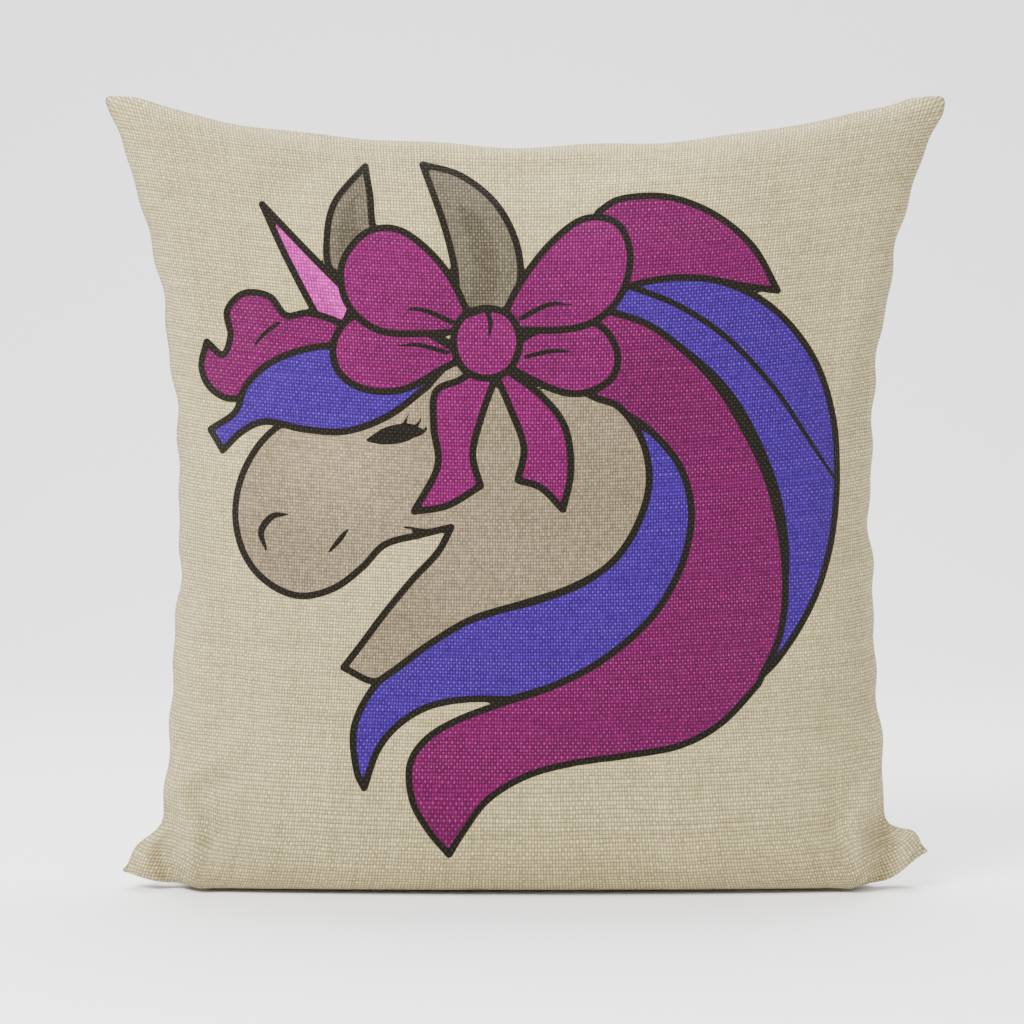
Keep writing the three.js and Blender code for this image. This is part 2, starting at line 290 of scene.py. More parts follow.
# %% [markdown]
# ## Filling it
# The cloth wants to be flat squares 450 mm wide, which is told to it by a second shape of the same
# mesh in which every cell has its cut size. Pressure inside pushes it out until it holds the
# volume of the stuffed insert. The floor below is a collision object, so the lower corners are
# pressed out sideways on it as they are under the cushion's own weight.

# %% Filling volume and the cloth's own properties
FILL_LITRES = 14.6
FILL_FORCE = 60
CLOTH_MASS = 0.3
FILL_STEPS = 34


def fill_cover():
    """Simulates the filling and returns the place of every cloth point."""
    cover = new_object("sewn_cover", start, cells)
    cover.shape_key_add(name="start")
    cut = cover.shape_key_add(name="cut_flat")
    pinned = cover.vertex_groups.new(name="zip_lips")
    filled = cover.vertex_groups.new(name="filled")
    for n, (i, j, _) in enumerate(keys):
        x, z = flat_place(i, j)
        cut.data[n].co = (x, 0, z)
        u, v = 2 * i / CELLS - 1, 2 * j / CELLS - 1
        filled.add([n], 1 - abs(u * v) ** 4, "REPLACE")
        if on_lip(i, j):
            pinned.add([n], 1.0, "REPLACE")
    cloth = cover.modifiers.new("Cloth", "CLOTH")
    cloth.point_cache.frame_start = 1
    cloth.point_cache.frame_end = FILL_STEPS + 1
    settings = cloth.settings
    settings.quality = 8
    settings.mass = CLOTH_MASS / len(keys)
    settings.tension_stiffness = settings.compression_stiffness = 40
    settings.shear_stiffness = 5
    settings.bending_stiffness = 0.1
    settings.tension_damping = settings.compression_damping = settings.shear_damping = 15
    settings.use_pressure = True
    settings.uniform_pressure_force = 0
    settings.use_pressure_volume = True
    settings.target_volume = FILL_LITRES * MM
    settings.pressure_factor = FILL_FORCE
    settings.fluid_density = 0.0008
    settings.vertex_group_pressure = "filled"
    settings.vertex_group_mass = "zip_lips"
    settings.rest_shape_key = cut
    cloth.collision_settings.distance_min = 1.5 * MM
    cloth.collision_settings.use_self_collision = False
    bpy.ops.mesh.primitive_cube_add(size=1, location=(0, 0, -0.5 - 1.2 * MM))
    ground = bpy.context.object
    ground.modifiers.new("Collision", "COLLISION")
    ground.collision.thickness_outer = 1 * MM
    ground.collision.cloth_friction = 8
    for step in range(1, FILL_STEPS + 1):
        bpy.context.scene.frame_set(step)
    graph = bpy.context.evaluated_depsgraph_get()
    result = cover.evaluated_get(graph).to_mesh()
    places = np.array([v.co[:] for v in result.vertices])
    cover.evaluated_get(graph).to_mesh_clear()
    bpy.data.objects.remove(cover)
    bpy.data.objects.remove(ground)
    bpy.context.scene.frame_set(1)
    return places


filled = fill_cover()
print("filled cover", ((filled.max(0) - filled.min(0)) / MM).round(1), "mm")

# %% [markdown]
# ## Dressing the cushion by hand
# Filling gives the large form. What a hand does afterwards is done here with smooth moves of the
# same points: the stuffing settles a little under its own weight, the two lower corners fold out
# as small flat ears with a crease beside them, and the seams gather the cloth into short soft
# puckers. Moves in code keep every size in millimetres, which a sculpting brush would not.

# %% Helpers for smooth moves
def rise(value, low, high):
    """0 below low, 1 above high, and a smooth turn between them."""
    t = np.clip((value - low) / (high - low), 0, 1)
    return t * t * (3 - 2 * t)


def hump(value, middle, width):
    return np.exp(-(((value - middle) / width) ** 2))


def waver(along, seed):
    """A gentle irregular wave along a seam, from about -1 to 1."""
    return (
        np.sin(along / 0.0068 + seed)
        + 0.8 * np.sin(along / 0.0107 + 2.3 * seed)
        + 0.9 * np.sin(along / 0.0174 + 4.1 * seed)
    ) / 2.1


grid_u = np.array([2 * i / CELLS - 1 for i, j, side in keys])
grid_v = np.array([2 * j / CELLS - 1 for i, j, side in keys])
grid_side = np.array([side for i, j, side in keys])
lip_points = np.array([on_lip(i, j) for i, j, side in keys])

# %% Sitting on the floor
BASE_ROWS = 12  # rows of cells between the zip and the side of the cushion
BASE_LEVEL = 0.3 * MM
MOST_SINK = 9.6 * MM


def seated(points):
    """Weight presses the foot of the cushion down past the zip, so that it rests on two soft ridges."""
    made = points.copy()
    free = ~lip_points & (grid_v > -1)
    sink = (made[:, 2] - BASE_LEVEL).clip(0, MOST_SINK) * (1 - rise(made[:, 2], 10 * MM, 120 * MM))
    made[free, 2] -= sink[free]
    for i in range(CELLS + 1):
        for side in (FRONT, BACK):
            foot = made[index[point_key(i, 0, side)]]
            top = made[index[point_key(i, BASE_ROWS, side)]]
            held = 1 - float(rise(abs(foot[0]), 176 * MM, 192 * MM))
            s = np.linspace(0, 1, 60)
            lip = (foot[2] - BASE_LEVEL) * np.clip(1 - s / 0.06, 0, 1)
            profile = np.stack(
                [
                    foot[0] + (top[0] - foot[0]) * s,
                    foot[1] + (top[1] - foot[1]) * s**0.62,
                    BASE_LEVEL + (top[2] - BASE_LEVEL) * s**2.2 + lip,
                ],
                1,
            )
            run = np.concatenate([[0], np.cumsum(np.linalg.norm(np.diff(profile, axis=0), axis=1))])
            for j in range(1, BASE_ROWS):
                n = index[point_key(i, j, side)]
                if not on_edge(i, j):
                    even = [np.interp(run[-1] * j / BASE_ROWS, run, profile[:, k]) for k in range(3)]
                    made[n] += held * (np.array(even) - made[n])
    return made


# %% Settling, ears and puckers
EAR_LIFT = {1: 15 * MM, -1: 5 * MM}  # right and left
PUCKER = 1.9 * MM
DENT_DEPTH = 1.9 * MM


def dressed(points):
    x, y, z = points[:, 0].copy(), points[:, 1].copy(), points[:, 2].copy()
    settle = (HEIGHT + 1.5 * MM - LIP_LEVEL) / (z.max() - LIP_LEVEL)
    z = np.where(z > LIP_LEVEL, LIP_LEVEL + (z - LIP_LEVEL) * settle, z)
    # the lower sides stand nearly straight, and the ears leave them with a sharp turn
    level = np.array([0, 10, 20, 27, 33, 50, 80, 120, 170, 230]) * MM
    share = np.array([0.97, 0.972, 0.966, 0.935, 0.915, 0.93, 0.952, 0.975, 0.993, 1])
    narrow = np.interp(z, level, share)
    outer = rise(abs(x), 120 * MM, 190 * MM)
    x *= 1 - (1 - narrow) * outer
    # folded ears, lifted off the floor towards their tips
    ear = rise(abs(x), 184 * MM, 211 * MM) * (1 - rise(z, 30 * MM, 70 * MM))
    z += np.where(x > 0, EAR_LIFT[1], EAR_LIFT[-1]) * ear * (1 - 0.35 * rise(z, 10 * MM, 40 * MM))
    from_side = (1 - abs(grid_u)) * PANEL / 2
    from_foot = (1 + grid_v) * PANEL / 2
    from_top = (1 - grid_v) * PANEL / 2
    line = from_side / (34 * MM) + from_foot / (50 * MM)
    crease = hump(line, 1.0, 0.15) * rise(from_side + from_foot, 4 * MM, 22 * MM)
    lobe = hump(line, 0.52, 0.24)
    y *= 1 - 0.88 * crease + 0.6 * lobe + 0.5 * hump(line, 1.46, 0.26)
    # soft slanting folds above the ears, deeper on the right
    for sign, depth, height in ((1, 4.0 * MM, 76 * MM), (-1, 3.0 * MM, 66 * MM)):
        place = hump(x, sign * 170 * MM, 26 * MM) * hump(z, height, 26 * MM)
        y += grid_side * depth * place * np.sin((0.62 * abs(x) + z) / (4.3 * MM))
    # a few long dents where the stuffing is thin
    for cx, cz, turn, long, wide, depth in (
        (-0.150, 0.300, 0.5, 0.045, 0.014, 2.4),
        (-0.163, 0.215, 0.2, 0.040, 0.016, 2.0),
        (0.135, 0.352, -0.7, 0.050, 0.013, 2.6),
        (0.157, 0.270, -0.2, 0.050, 0.013, 1.8),
        (0.020, 0.372, 1.4, 0.045, 0.010, 2.2),
        (-0.120, 0.366, 0.9, 0.040, 0.011, 1.8),
        (-0.150, 0.120, -0.5, 0.040, 0.014, 1.6),
    ):
        dx, dz = x - cx, z - cz
        across = dx * math.cos(turn) - dz * math.sin(turn)
        along = dx * math.sin(turn) + dz * math.cos(turn)
        y -= grid_side * DENT_DEPTH * depth * hump(across, 0, wide) * hump(along, 0, long)
    # puckers along the seams, which also show as a slightly uneven outline
    for distance, run, seed in (
        (from_side, grid_v * PANEL / 2, 1.0 + (grid_u > 0)),
        (from_top, grid_u * PANEL / 2, 3.4),
    ):
        near = np.exp(-distance / (17 * MM)) * rise(distance, -1 * MM, 9 * MM)
        y += grid_side * PUCKER * near * waver(run, seed + 0.4 * (grid_side > 0))
    side_edge = np.exp(-from_side / (10 * MM)) * rise(from_foot, 20 * MM, 60 * MM)
    x += np.sign(grid_u) * 1.5 * MM * side_edge * waver(1.3 * grid_v * PANEL / 2, 2 + (grid_u > 0))
    top_edge = np.exp(-from_top / (10 * MM))
    z += 1.5 * MM * top_edge * waver(0.55 * grid_u * PANEL / 2, 5.1) * rise(from_side, 5 * MM, 50 * MM)
    # the cloth of the two upper tips lies flat and square, as it was cut
    x += np.sign(grid_u) * 3 * MM * np.exp(-from_side / (9 * MM)) * hump(from_top, 11 * MM, 9 * MM)
    z += 3 * MM * np.exp(-from_top / (9 * MM)) * hump(from_side, 16 * MM, 12 * MM)
    y *= 1.035
    z = np.maximum(z, BASE_LEVEL)
    made = np.stack([x, y, z], 1)
    made[lip_points] = points[lip_points]
    # the upper and lower tips keep to the width and height of the model
    made[:, 0] = np.clip(made[:, 0], -HALF_WIDTH - 2 * MM, HALF_WIDTH + 2 * MM)
    return made


places = dressed(seated(filled))
for level in (20, 45, 57, 88, 151, 206, 261, 297, 339, 371):
    ring = places[abs(places[:, 2] - level * MM) < 4 * MM]
    print("at", level, "mm the cover is", (np.ptp(ring, axis=0) / MM).round()[:2], "mm wide and deep")

# %% [markdown]
# ## The two cover panels
# Each panel is one layer of cloth with a sewing allowance 10 mm wide folded in behind the seam.
# The grid of places becomes a mesh, its border is extruded into that allowance, and two levels of
# subdivision give it a smooth skin. The place of each point on the flat cloth is kept as it goes,
# so that the weave runs true along the cloth, however the cushion bulges.

# %% One panel as a mesh
ALLOWANCE = 10 * MM
ALLOWANCE_GAP = 0.6 * MM


def panel_points(side, points):
    """The places of one panel's own grid, row by row."""
    grid = np.array([points[index[point_key(i, j, side)]] for i, j in grid_points])
    return grid.reshape(CELLS + 1, CELLS + 1, 3)


def border_walk():
    """The grid points round the edge of a panel, anticlockwise from the lower left."""
    walk = [(i, 0) for i in range(CELLS)]
    walk += [(CELLS, j) for j in range(CELLS)]
    walk += [(i, CELLS) for i in range(CELLS, 0, -1)]
    return walk + [(0, j) for j in range(CELLS, 0, -1)]


def allowance_point(i, j, side, grid):
    """The raw edge of the cloth behind a point of the seam."""
    x, y, z = grid[i, j]
    u, v = 2 * i / CELLS - 1, 2 * j / CELLS - 1
    if on_lip(i, j):
        return x, y, z + ALLOWANCE
    inward = np.array([-u if abs(u) == 1 else 0.0, -v if abs(v) == 1 else 0.0])
    inward = inward / np.linalg.norm(inward)
    if abs(u) == 1 and abs(v) == 1:
        inward *= 1.3
    # trimmed where the lower corners fold, as a maker clips a corner
    inward *= 1 - 0.65 * float(rise(abs(u), 0.80, 0.93) * (1 - rise(v, -0.93, -0.78)))
    return x + inward[0] * ALLOWANCE, side * ALLOWANCE_GAP, z + inward[1] * ALLOWANCE


def number(i, j, side=FRONT):
    return i * (CELLS + 1) + j


def sewn_panel(name, side):
    """A cover panel with its allowance turned in, as a finished mesh."""
    grid = panel_points(side, places)
    points = [tuple(grid[i, j]) for i, j in grid_points]
    flat = [(*flat_place(i, j), 0.0) for i, j in grid_points]
    faces = grid_faces(CELLS, side, number)
    walk = border_walk()
    first = len(points)
    for i, j in walk:
        points.append(tuple(allowance_point(i, j, side, grid)))
        u, v = flat_place(i, j)
        further_out = 1 + ALLOWANCE / (PANEL / 2)
        flat.append((u * further_out, v * further_out, 0.0))
    for n, (i, j) in enumerate(walk):
        m = (n + 1) % len(walk)
        ring = [number(*walk[m]), number(i, j), first + n, first + m]
        faces.append(ring if side == FRONT else ring[::-1])
    panel = new_object(name, points, faces)
    attributes, edges = panel.data.attributes, panel.data.edges
    attributes.new("flat_place", "FLOAT_VECTOR", "POINT").data.foreach_set("vector", np.array(flat).ravel())
    border = {number(i, j) for i, j in walk}
    sharp = [float(all(v in border for v in edge.vertices)) for edge in edges]
    attributes.new("crease_edge", "FLOAT", "EDGE").data.foreach_set("value", sharp)
    return panel


def subdivided(obj, levels):
    """Applies a subdivision surface to obj."""
    smooth = obj.modifiers.new("Subdivision", "SUBSURF")
    smooth.levels = smooth.render_levels = levels
    bpy.context.view_layer.objects.active = obj
    bpy.ops.object.modifier_apply(modifier=smooth.name)


cover_front = sewn_panel("printed_cover_front", FRONT)
cover_back = sewn_panel("cover_back", BACK)
for panel in (cover_front, cover_back):
    subdivided(panel, 2)
    print(panel.name, len(panel.data.polygons), "faces")


# %% The flat place of each point becomes the cloth's own UV map
def cloth_uv(obj):
    mesh = obj.data
    flat = np.zeros(len(mesh.vertices) * 3)
    mesh.attributes["flat_place"].data.foreach_get("vector", flat)
    corner = np.zeros(len(mesh.loops), dtype=np.int64)
    mesh.loops.foreach_get("vertex_index", corner)
    uv = mesh.uv_layers.new(name="cloth")
    uv.data.foreach_set("uv", (flat.reshape(-1, 3)[corner, :2] / PANEL + 0.5).ravel())
    for name in ("flat_place", "crease_edge"):
        mesh.attributes.remove(mesh.attributes[name])


cloth_uv(cover_front)
cloth_uv(cover_back)

# %% [markdown]
# ## The print: a unicorn's head drawn for this cushion
# The design is flat ink on the cloth: fields of one colour each, with a dark line round them. It is
# drawn like paper cut-outs laid on top of each other, from the back to the front, each one a smooth
# outline through a few points. For each point of the cloth, the distance to the nearest outline is
# worked out and kept as a number on the mesh, and the ink colour beside it. The material then turns
# the distance into a line with a crisp edge, which stays sharp however close one looks.

# %% Outlines from a few points
DRAWING_MIDDLE = 0.208  # height of the middle of the drawing on the filled cushion
DRAWING_UNIT = 0.972 * MM  # the size of one step in the outlines below
LINE_HALF = 1.95  # half the width of the drawn line, in the same steps


def curve_through(points, steps=9):
    """A smooth open curve through the points."""
    p = np.array(points, dtype=float)
    p = np.vstack([2 * p[0] - p[1], p, 2 * p[-1] - p[-2]])
    made = []
    for a, b, c, d in zip(p, p[1:], p[2:], p[3:]):
        for t in np.linspace(0, 1, steps, endpoint=False):
            square, cube = 2 * a - 5 * b + 4 * c - d, 3 * b - a - 3 * c + d
            made.append(0.5 * (2 * b + (c - a) * t + square * t * t + cube * t**3))
    return np.array(made + [p[-2]])


def outline_of(*runs):
    """A closed outline of smooth runs that meet at corners: each run starts where the last one ends."""
    joined = [curve_through([a[-1], *b]) for a, b in zip((runs[-1], *runs[:-1]), runs)]
    return np.vstack([run[:-1] for run in joined])


def round_outline(points):
    """A closed outline with no corner."""
    p = [tuple(q) for q in points]
    whole = curve_through(p[-3:] + p + p[:3])
    return whole[3 * 9 - 9 : -3 * 9 + 8]


def distance_to_line(points, line):
    """The distance of each point to an open line, and how far along it the nearest place is, 0 to 1."""
    best, along = np.full(len(points), 1e9), np.zeros(len(points))
    for n, (p, q) in enumerate(zip(line, line[1:])):
        e, w = q - p, points - p
        t = np.clip((w @ e) / max(e @ e, 1e-12), 0, 1)
        d = ((w - t[:, None] * e) ** 2).sum(1)
        near = d < best
        best[near], along[near] = d[near], ((n + t) / (len(line) - 1))[near]
    return np.sqrt(best), along


def signed_distance(points, ring):
    """The distance of each point to a closed outline, below 0 inside it."""
    closed = np.vstack([ring, ring[:1]])
    inside = np.zeros(len(points), bool)
    for p, q in zip(closed, closed[1:]):
        if p[1] == q[1]:
            continue
        crossed = (p[1] <= points[:, 1]) != (q[1] <= points[:, 1])
        inside ^= crossed & (points[:, 0] < p[0] + (points[:, 1] - p[1]) * (q[0] - p[0]) / (q[1] - p[1]))
    return np.where(inside, -1, 1) * distance_to_line(points, closed)[0]


# %% Laying one cut-out, or one pen stroke, on the sheet
sheet_places = np.zeros(len(cover_front.data.vertices) * 3)
cover_front.data.vertices.foreach_get("co", sheet_places)
sheet_places = sheet_places.reshape(-1, 3)
drawn_at = np.stack([sheet_places[:, 0], sheet_places[:, 2] - DRAWING_MIDDLE], 1) / DRAWING_UNIT
line_field = np.full(len(drawn_at), 9.0)
ink = np.zeros((len(drawn_at), 4))


def nearby(line, margin=16):
    low, high = line.min(0) - margin, line.max(0) + margin
    return np.flatnonzero(((drawn_at > low) & (drawn_at < high)).all(1))


def cut_out(ring, colour, shade=()):
    """Lays a field of ink with a line round it. shade is (x, z, radius, factor) patches of a deeper tone."""
    who = nearby(ring)
    far = signed_distance(drawn_at[who], ring)
    inside = far < 0
    edge = abs(far) / LINE_HALF
    line_field[who] = np.where(inside, edge, np.minimum(line_field[who], edge))
    tone = np.ones(inside.sum())
    for x, z, radius, factor in shade:
        d = np.hypot(drawn_at[who[inside], 0] - x, drawn_at[who[inside], 1] - z)
        tone *= 1 + (factor - 1) * np.exp(-((d / radius) ** 2))
    ink[who[inside], :3] = np.array(colour) * tone[:, None]
    ink[who[inside], 3] = 1


def field(colour, *runs, shade=()):
    """A cut-out with a corner wherever one run of points meets the next."""
    cut_out(outline_of(*runs), colour, shade)


def tint(factor, *runs):
    """Darkens the ink inside an outline, softly, with no line of its own."""
    ring = outline_of(*runs)
    who = nearby(ring)
    far = signed_distance(drawn_at[who], ring)
    amount = 1 - rise(far, -1.2, 1.2)
    ink[who, :3] *= (1 + (np.array(factor) - 1) * amount[:, None])


def pen_stroke(points, weight=1.0, start=0.25, end=0.25):
    """A line that swells in the middle, or where start and end say."""
    line = curve_through(points, 6)
    who = nearby(line)
    d, along = distance_to_line(drawn_at[who], line)
    taper = start + (end - start) * along + (1 - np.maximum(start, end)) * np.sin(np.pi * along)
    line_field[who] = np.minimum(line_field[who], d / (LINE_HALF * weight * np.maximum(taper, 0.1)))


def blot(ring):
    """A shape filled with the dark of the line."""
    who = nearby(ring)
    far = signed_distance(drawn_at[who], ring)
    line_field[who] = np.minimum(line_field[who], np.maximum(far + 1.2, 0) / 1.2)


# %% Ink colours
def from_screen(r, g, b):
    """Linear colour from the 0 to 255 numbers of a screen."""
    shares = [c / 255 for c in (r, g, b)]
    return tuple(c / 12.92 if c <= 0.04045 else ((c + 0.055) / 1.055) ** 2.4 for c in shares)


MAGENTA = from_screen(90, 5, 66)
ROSE = from_screen(97, 8, 72)
VIOLET = from_screen(51, 17, 112)
HORN_PINK = from_screen(170, 44, 138)
COAT = from_screen(124, 111, 88)
EAR_COAT = from_screen(88, 80, 65)
LINE_DARK = from_screen(14, 10, 5)

# %% Mane, from the back to the front
field(
    MAGENTA,
    [(50, 153), (74, 154), (98, 145), (118, 128), (131, 105)],
    [(114, 107), (96, 110), (74, 109), (46, 104)],
    [(34, 124), (38, 146)],
)
field(
    VIOLET,
    [
        (52, 106), (76, 111), (102, 109), (128, 96), (149, 72), (160, 43), (163, 10), (160, -24), (150, -56),
        (133, -84), (118, -99),
    ],
    [(130, -72), (135, -38), (131, -4), (119, 28), (103, 54), (81, 74), (58, 88), (34, 97)],
)
pen_stroke([(52, 107), (78, 97), (104, 80), (128, 55), (147, 28), (161, 8)], 1.0, 0.9, 0.5)
field(
    MAGENTA,
    [(66, 85), (94, 61), (112, 34), (126, 4), (134, -34), (133, -70), (121, -99)],
    [(102, -119), (80, -131), (52, -136), (24, -140), (0, -147), (-20, -160), (-33, -178), (-40, -190)],
    [
        (-51, -176), (-59, -160), (-60, -141), (-51, -127), (-35, -117), (-12, -108), (14, -99), (40, -85),
        (64, -64), (79, -39), (85, -12), (80, 12), (66, 30), (48, 42), (22, 48),
    ],
    [(10, 76), (38, 95)],
    shade=((60, 40, 30, 0.86), (-20, -135, 40, 1.08)),
)

# %% Inner lock, head and neck
field(
    VIOLET,
    [
        (22, 48), (40, 42), (54, 30), (62, 12), (60, -8), (50, -28), (32, -44), (8, -54), (-18, -61),
        (-42, -71), (-62, -84), (-79, -101), (-89, -122), (-88, -144), (-84, -154),
    ],
    [(-77, -134), (-66, -120), (-50, -110), (-30, -106), (-8, -106)],
    [(16, -98), (40, -85), (64, -64), (79, -39), (85, -12), (80, 12), (66, 30), (48, 42)],
)
field(
    COAT,
    [
        (30, 52), (48, 44), (60, 26), (63, 4), (56, -18), (43, -36), (23, -48), (-1, -56), (-27, -64),
        (-49, -77), (-69, -92), (-79, -97), (-94, -90),
    ],
    [(-84, -77), (-72, -61), (-58, -44), (-45, -30), (-38, -17)],
    [
        (-54, -21), (-72, -26), (-84, -38), (-99, -49), (-117, -53), (-134, -46), (-146, -32), (-151, -13),
        (-148, 7), (-138, 25), (-124, 37), (-104, 46),
    ],
    [(-60, 66), (-10, 80)],
    shade=(
        (-128, -30, 26, 0.86), (-96, 22, 30, 1.3), (-62, -70, 34, 0.86), (40, 0, 30, 0.87),
        (-4, -10, 24, 0.96), (-20, 40, 34, 0.9),
    ),
)
pen_stroke([(-38, -17), (-50, -19), (-62, -17)], 1.0, 0.9, 0.3)
pen_stroke([(-134, -30), (-137, -20), (-131, -12), (-123, -11)], 1.05, 0.35, 0.3)
pen_stroke([(-101, -30), (-95, -23), (-91, -18)], 0.85, 0.4, 0.2)

# %% Closed eye with a fringe of lashes
blot(outline_of([(-83, 27), (-72, 25), (-60, 27), (-52, 33)], [(-60, 36), (-72, 34), (-83, 27)]))
for foot, tip in (((-61, 32), (-53, 39)), ((-66, 33), (-60, 41)), ((-57, 30), (-50, 35))):
    pen_stroke([foot, ((foot[0] + tip[0]) / 2 + 1, (foot[1] + tip[1]) / 2 - 1), tip], 0.8, 0.95, 0.2)

# %% Ears and horn
field(
    EAR_COAT,
    [(-101, 116), (-103, 134), (-99, 152), (-84, 171)],
    [(-81, 155), (-79, 138), (-72, 122)],
    [(-86, 108)],
)
tint((0.72, 0.71, 0.7), [(-97, 118), (-96, 140), (-88, 158)], [(-88, 140), (-82, 122)], [(-90, 112)])
field(
    EAR_COAT,
    [(-35, 88), (-36, 112), (-42, 138), (-54, 172)],
    [(-34, 166), (-16, 151), (-5, 130), (-3, 108), (-12, 86)],
    [(-24, 82)],
)
tint((0.74, 0.73, 0.72), [(-31, 90), (-27, 118), (-36, 152)], [(-22, 140), (-14, 118), (-17, 90)], [(-24, 86)])
field(HORN_PINK, [(-100, 80), (-122, 118), (-138, 151)], [(-112, 124), (-88, 100)], [(-93, 88)])
tint((0.86, 0.72, 0.86), [(-100, 80), (-118, 112), (-134, 144)], [(-112, 118), (-96, 90)], [(-98, 84)])

# %% Forelock
field(
    MAGENTA,
    [
        (-96, 88), (-112, 93), (-124, 92), (-133, 102), (-147, 104), (-156, 95), (-154, 82), (-158, 72),
        (-167, 79),
    ],
    [(-170, 66), (-165, 55), (-154, 49), (-142, 52), (-126, 60), (-104, 62), (-84, 64)],
    [(-84, 80)],
)
pen_stroke([(-128, 88), (-136, 82), (-142, 75)], 0.8, 0.7, 0.2)
field(
    VIOLET,
    [(-40, 70), (-62, 74), (-86, 76), (-110, 75), (-131, 68), (-145, 56), (-151, 42), (-165, 33)],
    [(-158, 22)],
    [(-147, 32), (-134, 37), (-114, 33), (-92, 32), (-70, 40), (-50, 55)],
)

# %% Ribbon tails, bow loops and knot
field(
    ROSE,
    [(-20, 66), (-34, 58), (-46, 52), (-47, 34), (-45, 14), (-57, -9)],
    [(-40, -6), (-23, 4)],
    [(-27, 20), (-23, 38), (-16, 58)],
)
field(
    ROSE,
    [(-16, 64), (-8, 44), (-1, 24), (-4, 7)],
    [(8, 3), (19, -8)],
    [(23, 12), (20, 34), (8, 50), (-8, 62)],
)
cut_out(
    round_outline([(-34, 72), (-46, 62), (-64, 53), (-84, 54), (-97, 64), (-98, 80), (-86, 92), (-60, 88)]),
    ROSE,
    shade=((-60, 78, 24, 0.84),),
)
cut_out(
    round_outline([(-13, 72), (6, 57), (26, 51), (43, 58), (47, 72), (38, 86), (18, 90)]),
    ROSE,
    shade=((14, 78, 22, 0.84),),
)
field(
    ROSE,
    [
        (-26, 84), (-52, 82), (-76, 84), (-92, 98), (-95, 118), (-84, 134), (-68, 137), (-52, 127),
        (-38, 110), (-26, 84),
    ],
    shade=((-40, 90, 24, 0.84),),
)
field(
    ROSE,
    [
        (-14, 84), (-4, 106), (12, 128), (30, 142), (47, 140), (54, 124), (50, 104), (38, 90), (20, 84),
        (-14, 84),
    ],
    shade=((6, 94, 24, 0.84),),
)
cut_out(
    round_outline([(-20, 95), (-8, 91), (-3, 78), (-8, 64), (-20, 59), (-32, 64), (-37, 78), (-32, 91)]),
    ROSE,
)
pen_stroke([(-20, 95), (-18, 87), (-19, 80)], 0.9, 0.8, 0.25)
pen_stroke([(-38, 88), (-52, 94), (-64, 95)], 0.9, 0.8, 0.2)
pen_stroke([(-2, 90), (12, 97), (24, 97)], 0.9, 0.8, 0.2)
pen_stroke([(-40, 72), (-54, 76), (-66, 76)], 0.8, 0.7, 0.2)
pen_stroke([(0, 70), (14, 73), (26, 72)], 0.8, 0.7, 0.2)

# %% The drawing as numbers on the mesh
line_attribute = cover_front.data.attributes.new("print_line", "FLOAT", "POINT")
line_attribute.data.foreach_set("value", np.minimum(line_field, 6.0))
ink_attribute = cover_front.data.color_attributes.new("print_ink", "FLOAT_COLOR", "POINT")
ink_attribute.data.foreach_set("color", ink.ravel())
print("inked share of the front", round(float(ink[:, 3].mean()), 2))

# %% [markdown]
# ## Linen-look cloth
# The cloth is a plain weave of thick slubby yarn: each thread goes over one and under the next, so
# the surface is a field of small humps with dark gaps at their corners. A picture of cloth would
# repeat and blur, so the weave is worked out in the material instead. Two sets of threads are
# counted along the flat cloth, a chequer says which one is on top, and the round section of that
# thread gives the height for the bumps and the shadow in the gaps. Every thread has its own tone
# and every stretch of it its own thickness, as in spun yarn.

